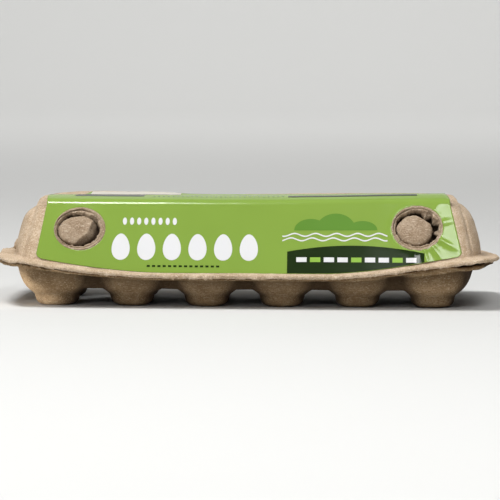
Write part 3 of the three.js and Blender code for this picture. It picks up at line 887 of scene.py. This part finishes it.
LABEL_COLUMNS = 340
PANEL_ROWS = 62
EDGE_ROWS = 14
TOP_ROWS = 26
LABEL_WAVES = ((48, 0.22), (17, 0.1))
LABEL_RING_RISE = (0.18, 0.12)  # the paper's rise to a lock's ring: height and width
ROW_POWER = 1.25  # the rows lie closer near the lower edge
WRINKLES = (  # from the right lock: angle in degrees, length, width and height
    (-28, 19, 1.5, 0.42), (-52, 20, 1.7, 0.36), (-74, 17, 1.3, 0.4), (-96, 15, 1.5, 0.28),
    (12, 15, 1.8, 0.22), (48, 12, 1.6, 0.2))


def label_low(x):
    """The height of the label's lower edge."""
    return seam(x, -SEAM_FRONT_Y) + LABEL_RISE + LABEL_RISE_END * seam_rise(x)


def label_relief(points):
    """How the glued paper lies: soft waves, a rise to each lock's ring, and creases that
    run out from the right lock."""
    wave = layered_noise(points, LABEL_WAVES, 41)
    for side in LOCKS:
        share = lock_share(points, side)
        wave = wave + LABEL_RING_RISE[0] * np.exp(-((share - 1) / LABEL_RING_RISE[1]) ** 2)
    away = points - lock_centre("right")
    x, s = away[..., 0], away @ PANEL_UP
    for angle, length, width, height in WRINKLES:
        c, d = math.cos(math.radians(angle)), math.sin(math.radians(angle))
        along, across = x * c + s * d, -x * d + s * c
        start = LOCK_RING[1] * 0.9
        fade = between(along, start - 3, start + 1, start + 4, start + length)
        crease = np.exp(-(across / (width * (0.6 + along / 40))) ** 2)
        wave = wave + height * fade * crease * (points[..., 1] < 0)
    return wave


def label_half(u, v):
    """The label's half length at share v of the panel's slope, 0 at the lower edge."""
    return LABEL_TOP_X + np.where(u < 0, *LABEL_FLARE) * (1 - v)


def label_back(x):
    """Where the label ends on the top: a straight line, but for a cut at the left."""
    low, high, depth = LABEL_CUT
    return LABEL_BACK_Y - depth * (1 - smoothstep(x, low, high))


def build_label():
    """The label's skin: rows go up the panel, round the edge and over the top, columns
    along it. Rows near the lower edge are shortened to round its two corners."""
    u = np.linspace(-1, 1, LABEL_COLUMNS + 1)[None]
    v = np.linspace(0, 1, PANEL_ROWS + 1)[:, None] ** ROW_POWER
    height = (PANEL_TOP[1] - PANEL_BASE[1]) / math.cos(SLOPE)
    gap = np.clip(LABEL_CORNER_R - v * height, 0, LABEL_CORNER_R)
    round_in = LABEL_CORNER_R - np.sqrt(LABEL_CORNER_R ** 2 - gap ** 2)
    x = u * (label_half(u, v) - round_in)
    z = label_low(x) + v * (PANEL_TOP[1] - label_low(x))
    panel = np.stack([x, -panel_y(z), z], -1)
    main = rounded_line(MAIN_EDGE, 2)
    t = np.linspace(0, 1, EDGE_ROWS + 1)[1:]
    place = np.interp(t, np.linspace(0, 1, len(main)), np.arange(len(main)))
    edge_z = np.interp(place, np.arange(len(main)), main[:, 0])
    edge_y = np.interp(place, np.arange(len(main)), main[:, 2])
    run = np.linspace(0, 1, TOP_ROWS + 1)[1:, None]
    top_y = -main[-1, 2] + run * (label_back(u * LABEL_TOP_X) + main[-1, 2])
    rest_y = np.concatenate([-edge_y[:, None] + 0 * u, top_y])
    rest_z = np.concatenate([edge_z, np.full(TOP_ROWS, float(LID_TOP_Z))])[:, None]
    flare, from_y, length = LABEL_TOP_FLARE
    longer = np.where(u < 0, flare, -flare) * np.clip(rest_y - from_y, 0, length)
    over = np.stack([u * (LABEL_TOP_X + longer), rest_y, rest_z + 0 * u], -1)
    base = np.concatenate([panel, over])
    normal = normals_of(base, wrap=False)
    lifted = LABEL_LIFT + label_relief(base)
    outer = base + normal * lifted[..., None]
    inner = base + normal * (lifted - LABEL_T)[..., None]
    for side in LOCKS:
        dip = PANEL_NORMAL * lock_dip(base, side, LABEL_DIP)
        outer -= dip
        inner -= dip
    rows, cols = base.shape[:2]
    count = rows * cols
    rim = border_of(rows, cols)
    nxt = np.roll(rim, -1)
    sides = np.stack([rim + count, nxt + count, nxt, rim], -1)
    back = quads_of(rows, cols, wrap=False, start=count, flip=True)
    faces = [quads_of(rows, cols, wrap=False), back, sides]
    points = settled(np.concatenate([outer.reshape(-1, 3), inner.reshape(-1, 3)]))
    return make_piece("label_paper", points, faces, PAPER_GREEN, ["label"])


INK_T = 0.1


def on_label_front(x, z):
    """Ink on the front panel's paper at a place along it and a height."""
    base = np.stack([x, -panel_y(z), z], -1)
    return settled(base + PANEL_NORMAL * (LABEL_LIFT + INK_T + label_relief(base))[..., None])


def on_label_top(x, y):
    """Ink on the top's paper at a place along it and across it."""
    base = np.stack([x, y, np.full_like(x, LID_TOP_Z)], -1)
    return settled(base + np.array([0, 0, 1]) * (LABEL_LIFT + INK_T + label_relief(base))[..., None])


def print_shapes(name, grids, ink):
    """One mesh of many small printed shapes, each a grid of points on the paper."""
    points, faces, start = [], [], 0
    for grid in grids:
        rows, cols = grid.shape[:2]
        points.append(grid.reshape(-1, 3))
        faces.append(quads_of(rows, cols, wrap=False, start=start))
        start += rows * cols
    return make_piece(name, np.concatenate(points), faces, ink)


def disc(surface, cx, cy, rx, ry, point=0.0, n=14):
    """An oval from a square grid squeezed to a circle; point narrows its upper half, as an
    egg narrows."""
    a, b = np.meshgrid(np.linspace(-1, 1, n), np.linspace(-1, 1, n))
    x, y = a * np.sqrt(1 - b * b / 2), b * np.sqrt(1 - a * a / 2)
    return surface(cx + rx * x * (1 - point * y), cy + ry * y)


def patch(surface, x0, x1, low, high, nx=40, ny=10):
    """An area between two lines, low and high, each a number or a function of x."""
    x = np.linspace(x0, x1, nx)[None] + np.zeros((ny, 1))
    lo = low(x) if callable(low) else np.full_like(x, low)
    hi = high(x) if callable(high) else np.full_like(x, high)
    t = np.linspace(0, 1, ny)[:, None]
    return surface(x, lo + t * (hi - lo))


EGG_ROW = {"first": -76, "pitch": 15.4, "count": 6, "z": 36.6, "rx": 5.4, "rz": 7.6}
DOT_ROW = {"first": -74, "pitch": 4.3, "count": 8, "z": 51.4, "rx": 1.25, "rz": 2.1}
SMALL_ROW = {"first": -60, "pitch": 3.2, "count": 14, "z": 25.6, "width": 1.9, "height": 1.1}
HILLS = ((38, 10, 6.5), (53, 12, 9.5), (69, 9, 5.2))  # middle, half width, height
HILL_Z = 46.5
WAVES = {"x": (21, 84), "z": 43.6, "gap": 2.5, "count": 2, "swing": 0.8, "length": 12.6,
         "width": 0.75}
BLOCK = {"x": (24, 106), "crown_x": 63, "crown_z": 38, "fall": 0.0023}
BAR_LIME_EVERY = 3
BLOCK_BARS = {"first": 29.5, "pitch": 8.2, "count": 9, "z": 29.9, "width": 6.2, "height": 2.7}
TOP_BANDS = ((-106, -64, -18, 4), (24, 102, -22, -14.5))  # x to x, y to y
TOP_PALE = (-98.5, -43, 4.5, 19)
TOP_TICKS = {"first": -58, "pitch": 2.9, "count": 28, "y": -18, "width": 1.1, "height": 4}


def bars(surface, row, centre, skip=lambda i: False):
    """A row of short level bars, without those that skip names by number."""
    lefts = [row["first"] + i * row["pitch"] for i in range(row["count"]) if not skip(i)]
    low, high = centre - row["height"] / 2, centre + row["height"] / 2
    return [patch(surface, left, left + row["width"], low, high, 6, 4) for left in lefts]


def ovals(row, point=0.0):
    """A row of upright ovals on the front."""
    return [disc(on_label_front, row["first"] + i * row["pitch"], row["z"], row["rx"], row["rz"], point)
            for i in range(row["count"])]


def build_print():
    """Plain shapes for the label's print: a row of eggs with small marks over and under
    it, hills over two waves, a dark block with a bowed top, and bands on the top."""
    waves = []
    for k in range(WAVES["count"]):
        def line(x, k=k):
            swing = WAVES["swing"] * np.sin(2 * np.pi * x / WAVES["length"] + k)
            return WAVES["z"] - k * WAVES["gap"] + swing
        waves.append(patch(on_label_front, *WAVES["x"], line,
                           lambda x, line=line: line(x) + WAVES["width"], 120, 4))
    print_shapes("print_white", ovals(EGG_ROW, 0.16) + ovals(DOT_ROW) + waves, INK_WHITE)
    print_shapes("print_pale", [patch(on_label_top, *TOP_PALE, 40, 12)], INK_PALE)

    def crown(x):
        return BLOCK["crown_z"] - BLOCK["fall"] * (x - BLOCK["crown_x"]) ** 2

    block = [patch(on_label_front, *BLOCK["x"], lambda x: label_low(x) + 0.25, crown, 90, 26)]
    block += [patch(on_label_top, *band, 50, 12) for band in TOP_BANDS]
    print_shapes("print_dark", block + bars(on_label_front, SMALL_ROW, SMALL_ROW["z"]), INK_DARK)

    def skyline(x):
        domes = [h * np.sqrt(np.clip(1 - ((x - cx) / half) ** 2, 0, 1)) for cx, half, h in HILLS]
        return HILL_Z + np.maximum.reduce(domes)

    hills_from, hills_to = HILLS[0][0] - HILLS[0][1], HILLS[-1][0] + HILLS[-1][1]
    hills = [patch(on_label_front, hills_from, hills_to, HILL_Z, skyline, 160, 8)]
    print_shapes("print_hills", hills + bars(on_label_top, TOP_TICKS, TOP_TICKS["y"]), INK_LEAF)

    def lifted(x, z):
        return on_label_front(x, z) + PANEL_NORMAL * INK_T

    def lime_bar(i):
        return i % BAR_LIME_EVERY == 1

    def white_bar(i):
        return not lime_bar(i)

    print_shapes("print_block_white", bars(lifted, BLOCK_BARS, BLOCK_BARS["z"], lime_bar), INK_WHITE)
    print_shapes("print_block_lime", bars(lifted, BLOCK_BARS, BLOCK_BARS["z"], white_bar), INK_LIME)


# The tray

CELL_STEPS = 56
CELL_CORE = 0.8  # share of a cell's rings that follow the cup's own profile
CORE_HALF = 18.5
OUTER_HALF = 25
TRAY_RIM_SHARES = (0.25, 0.5, 0.75)
TRAY_LIPS = (((0.9, 0), (0.3, 0.15), (0, 0.6)), ((0, -0.6), (0.3, -0.15), (0.9, 0)))
TRAY_FRAY = 1.3
TRAY_FILLETS = (2.2, 2.0)  # between cups and web, and up to the flange
TRAY_NEAR_Y = (46, 50)
TRAY_DROOP_Y = (20, 34)
TRAY_LUMPS = ((14, 0.2),)
TRAY_DROOP = (2.3, 120, 132, 138, 147)  # its flange bends down at the right: depth, along x


def cup_centres():
    first = TRAY_SHIFT_X - CUP_PITCH * (CUPS_IN_ROW - 1) / 2
    return first + CUP_PITCH * np.arange(CUPS_IN_ROW), np.array([-0.5, 0.5]) * ROW_SPACING


def square_distance(dx, dy, power=CUP_ROUNDNESS):
    """The half width of the rounded square round the middle that a point lies on."""
    return (np.abs(dx) ** power + np.abs(dy) ** power) ** (1 / power)


def tray_height(x, y):
    """The underside's height: the lowest of the cups' profiles, the web and the flange,
    with fillets between them, and hollow posts raised in the web between four cups."""
    xs, ys = cup_centres()
    near_x = xs[np.argmin(np.abs(x[..., None] - xs), -1)]
    near_y = ys[np.argmin(np.abs(y[..., None] - ys), -1)]
    cup_line = rounded_line(CUP_PROFILE)
    cup = np.interp(square_distance(x - near_x, y - near_y), cup_line[:, 0], cup_line[:, 1])
    past_x = np.abs(x - TRAY_SHIFT_X) - (xs[-1] - TRAY_SHIFT_X + WEB_REACH[0])
    past_y = np.abs(y) - (ys[-1] + WEB_REACH[1])
    web_line = rounded_line(WEB_PROFILE)
    web = np.interp(np.maximum(past_x, past_y), web_line[:, 0], web_line[:, 1])
    mid_x = TRAY_SHIFT_X + CUP_PITCH * np.round((x - TRAY_SHIFT_X) / CUP_PITCH)
    inner = np.abs(mid_x - TRAY_SHIFT_X) < CUP_PITCH * (CUPS_IN_ROW / 2 - 0.5)
    turned_x, turned_y = (x - mid_x + y) / math.sqrt(2), (y - x + mid_x) / math.sqrt(2)
    post_line = rounded_line(POST_PROFILE)
    post = np.interp(square_distance(turned_x, turned_y), post_line[:, 0], post_line[:, 1])
    web = np.where(inner, np.maximum(web, post), web)
    under = seam(x, y) - SEAM_GAP / 2 - TRAY_FLANGE_T + TRAY_LIP_LESS * low_share(x, y)
    return smooth_min(smooth_min(cup, web, TRAY_FILLETS[0]), under, TRAY_FILLETS[1])


def cell_ring(m, half):
    """A ring's half width: evenly spaced along the cup's profile in the core, then evenly
    out to the cell's own half width."""
    line = rounded_line(CUP_PROFILE)
    line = line[line[:, 0] <= CORE_HALF]
    run = np.concatenate([[0], np.cumsum(np.hypot(*np.diff(line, axis=0).T))])
    core = np.interp(m / CELL_CORE, run / run[-1], line[:, 0])
    beyond = line[-1, 0] + (half - line[-1, 0]) * (m - CELL_CORE) / (1 - CELL_CORE)
    return np.where(m < CELL_CORE, core, beyond)


def cell_grid(column, row, last_column):
    """One cup's cell: rings of a square grid drawn in to the cup's rounded square, and out
    to the cell's straight edges, except at the carton's own rounded corners."""
    xs, ys = cup_centres()
    s, t = np.meshgrid(np.linspace(-1, 1, CELL_STEPS + 1), np.linspace(-1, 1, CELL_STEPS + 1))
    m = np.maximum(np.maximum(np.abs(s), np.abs(t)), 1e-9)
    cs, ct = s / m, t / m
    outer_x = ((s < 0) & (column == 0)) | ((s > 0) & (column == last_column))
    outer_y = (t < 0) == (row == 0)
    half_x = np.where(outer_x, OUTER_HALF, CUP_PITCH / 2)
    half_y = np.where(outer_y, OUTER_HALF, ROW_SPACING / 2)
    rounding = np.maximum(square_distance(cs, ct), 1)
    square = smoothstep(m, CELL_CORE, 1) * ~(outer_x & outer_y)
    drawn = 1 / rounding + square * (1 - 1 / rounding)
    return xs[column] + cell_ring(m, half_x) * cs * drawn, ys[row] + cell_ring(m, half_y) * ct * drawn


def build_tray():
    """The tray's pulp: the cups' cells joined into one grid, then rings from its border out
    to the flange's frayed edge, over it and in under the lid."""
    last = CUPS_IN_ROW - 1
    rows = []
    for row in (0, 1):
        cells = [cell_grid(column, row, last) for column in range(CUPS_IN_ROW)]
        rows.append([np.concatenate([c[k][:, min(i, 1):] for i, c in enumerate(cells)], 1)
                     for k in (0, 1)])
    x, y = (np.concatenate([rows[0][k], rows[1][k][1:]]) for k in (0, 1))
    grid = np.stack([x, y, tray_height(x, y)], -1)
    normal = normals_of(grid, wrap=False)
    lumps = pulp_relief(grid, 61) + layered_noise(grid, TRAY_LUMPS, 67)
    grid -= normal * lumps[..., None]
    grid[..., 2] = np.maximum(grid[..., 2], 0)
    nr, nc = x.shape
    border = border_of(nr, nc)
    bx, by = x.reshape(-1)[border], y.reshape(-1)[border]
    ex, ey = flange_reach(bx, by, TRAY_INSET)

    def top(px, py):
        return seam(px, py) - SEAM_GAP / 2

    rings = []
    for share in TRAY_RIM_SHARES:
        px, py = bx + (ex - bx) * share, by + (ey - by) * share
        rings.append(np.stack([px, py, tray_height(px, py)], -1))
    rings = np.array(rings + edge_rings(bx, by, tray_height, top, TRAY_INSET, TRAY_LIPS))
    share = past_flange(rings[..., 0], rings[..., 1], TRAY_INSET)
    out = np.stack([ex - bx, ey - by, 0 * ex], -1)
    out /= np.linalg.norm(out, axis=-1, keepdims=True)
    rings += out * ragged_edge(rings, share, 71)[..., None] * TRAY_FRAY
    rx, ry = rings[..., 0], rings[..., 1]
    *span, reach = TRAY_NEAR
    rings[..., 1] -= reach * between(rx, *span) * smoothstep(-ry, *TRAY_NEAR_Y)
    depth, *span = TRAY_DROOP
    bent = between(rx, *span) * smoothstep(-ry, *TRAY_DROOP_Y)
    rings[..., 2] -= depth * bent * smoothstep(share, 0.75, 1.0)
    inner_point = [[0, 0, SEAM_END_Z - SEAM_DROP - 1]]
    points = np.concatenate([grid.reshape(-1, 3), rings.reshape(-1, 3), inner_point])
    start, loop = nr * nc, len(border)
    nxt = np.roll(np.arange(loop), -1)
    first = np.stack([border, border[nxt], start + nxt, start + np.arange(loop)], -1)
    last_ring = start + (len(rings) - 1) * loop + np.arange(loop)
    faces = [quads_of(nr, nc, wrap=False, flip=True), first,
             quads_of(len(rings), loop, wrap=True, start=start), fan_of(last_ring, len(points) - 1)]
    return make_piece("tray_pulp", points, faces, PULP_TRAY_SHADED, ["tray"])


# The fold along the back edge

HINGE_HALF = 125
HINGE_STEPS = 220
HINGE_SIDES = 14
HINGE_OFF = 0.25  # its middle lies behind the flanges' back edge
HINGE_DEEP = (1.75, 0.6)  # half depth behind its middle and before it
HINGE_RISE = 2.15  # half height
HINGE_PINCH = 0.22  # it is thinner by this share where it was bent
HINGE_END_POWER = 24  # how suddenly its ends close
HINGE_WAVES = ((9, 0.16), (2.2, 0.1))


def build_hinge():
    """The fold that joins tray and lid: a half oval carried along the back edge, thinned
    towards both ends and pinched where it was bent."""
    x = np.linspace(-HINGE_HALF, HINGE_HALF, HINGE_STEPS)[:, None]
    a = whole_turn(HINGE_SIDES)
    ends = np.sqrt(np.clip(1 - (np.abs(x) / HINGE_HALF) ** HINGE_END_POWER, 0.0, 1)) + 0.02
    pinch = 1 - HINGE_PINCH * smoothstep(np.cos(2 * np.pi * x / CUP_PITCH), 0.7, 1)
    deep = np.where(np.cos(a) > 0, *HINGE_DEEP) * ends * pinch
    y = FLANGE_BACK + HINGE_OFF + deep * np.cos(a)
    z = SEAM_END_Z + HINGE_RISE * ends * np.sin(a)
    grid = np.stack([x + 0 * a, y, z], -1)
    rough = layered_noise(grid, HINGE_WAVES, 83) * ends
    grid = grid + normals_of(grid, wrap=True) * rough[..., None]
    points, faces = closed_ends(grid)
    return make_piece("hinge_fold", points, faces, PULP_LID, ["hinge"])


# Floor, camera and light

VIEW_TURN = math.radians(1.87)
VIEW_RISE = math.radians(5.25)
VIEW_ROLL = math.radians(0.24)
VIEW_DISTANCE = 1.578
VIEW_TARGET = (0.0003, 0, 0.0314)
FOCAL_SHARE = 5.12  # focal length over the picture's width
SENSOR = 36


def build_floor():
    """A pale floor that curves up into a backdrop far behind the carton."""
    half, front, back, radius, top = 5, -5, 3, 1.5, 4.5
    run = np.linspace(0, np.pi / 2, 24)
    y = np.concatenate([[front, -1, 0, 1], back + radius * np.sin(run), [back + radius]])
    z = np.concatenate([[0, 0, 0, 0], radius * (1 - np.cos(run)), [top]])
    x = np.linspace(-half, half, 12)
    grid = np.stack(np.broadcast_arrays(x[None], y[:, None], z[:, None]), -1)
    floor = smooth_object("floor", grid, [quads_of(len(y), len(x), wrap=False)])
    material, _, shader, _ = new_material("matt_studio_floor")
    shader.inputs["Base Color"].default_value = linear("#D2D2D0")
    shader.inputs["Roughness"].default_value = 0.9
    floor.data.materials.append(material)


def aim(obj, target):
    """Turns an object so that its -Z axis points at the target, with Y up."""
    direction = Vector(target) - obj.location
    obj.rotation_euler = direction.to_track_quat("-Z", "Y").to_euler()


def add_camera():
    """The photograph's view: almost level, a little from the right, with a long lens."""
    data = bpy.data.cameras.new("camera")
    data.sensor_width = SENSOR
    data.lens = SENSOR * FOCAL_SHARE
    camera = linked(bpy.data.objects.new("camera", data))
    level = math.cos(VIEW_RISE) * VIEW_DISTANCE
    camera.location = (VIEW_TARGET[0] + math.sin(VIEW_TURN) * level,
                       VIEW_TARGET[1] - math.cos(VIEW_TURN) * level,
                       VIEW_TARGET[2] + math.sin(VIEW_RISE) * VIEW_DISTANCE)
    aim(camera, VIEW_TARGET)
    camera.rotation_euler.rotate_axis("Z", VIEW_ROLL)
    bpy.context.scene.camera = camera


LIGHTS = (  # name, place, target, width, height, watts
    ("key", (-0.43, -0.55, 1.45), (0, 0, 0.03), 0.75, 0.24, 25),
    ("side", (0.85, -0.5, 1.5), (0, 0, 0.03), 0.8, 0.5, 4),
    ("top", (0.2, 0.3, 2.6), (0, 0, 0.03), 2.6, 2.0, 7),
    ("front", (-0.7, -2.1, 1.05), (0, 0, 0.0), 0.8, 0.3, 5),
    ("left", (-2.5, -1.0, 0.25), (-0.12, -0.03, 0.02), 0.6, 0.3, 2.5),
    ("glare", (0.33, -1.04, 1.08), (0.13, -0.04, 0.04), 0.35, 0.3, 5),
    ("backdrop", (0, 2.0, 2.6), (0, 4.5, 0.6), 4, 1, 90),
)
# The narrow spot's place, target, cone in degrees, softness and watts
KICKER = ((-0.75, -0.5, 0.05), (-0.137, -0.03, 0.002), 3.4, 0.7, 36)
WORLD_LIGHT = 0.05


def add_lamp(name, kind, place, target, watts):
    """A lamp at a place, turned to its target; gives its settings."""
    data = bpy.data.lights.new(name, kind)
    data.energy = watts
    lamp = linked(bpy.data.objects.new(name, data))
    lamp.location = place
    aim(lamp, target)
    return data


def add_lights():
    """Soft area lights, one narrow spot on the left foot and a faint even sky."""
    for name, place, target, width, height, watts in LIGHTS:
        lamp = add_lamp(name, "AREA", place, target, watts)
        lamp.shape = "RECTANGLE"
        lamp.size, lamp.size_y = width, height
    place, target, cone, softness, watts = KICKER
    spot = add_lamp("kicker", "SPOT", place, target, watts)
    spot.spot_size, spot.spot_blend = math.radians(cone), softness
    world = bpy.data.worlds.new("studio")
    world.use_nodes = True
    background = world.node_tree.nodes["Background"]
    background.inputs["Color"].default_value = linear("#F4F5F7")
    background.inputs["Strength"].default_value = WORLD_LIGHT
    bpy.context.scene.world = world
    bpy.context.scene.view_settings.view_transform = "Standard"


add_camera()
build_floor()
add_lights()
build_lid()
build_tray()
build_hinge()
build_label()
build_print()
for lock_side in LOCKS:
    build_lock_ring(lock_side)
    build_knob(lock_side)
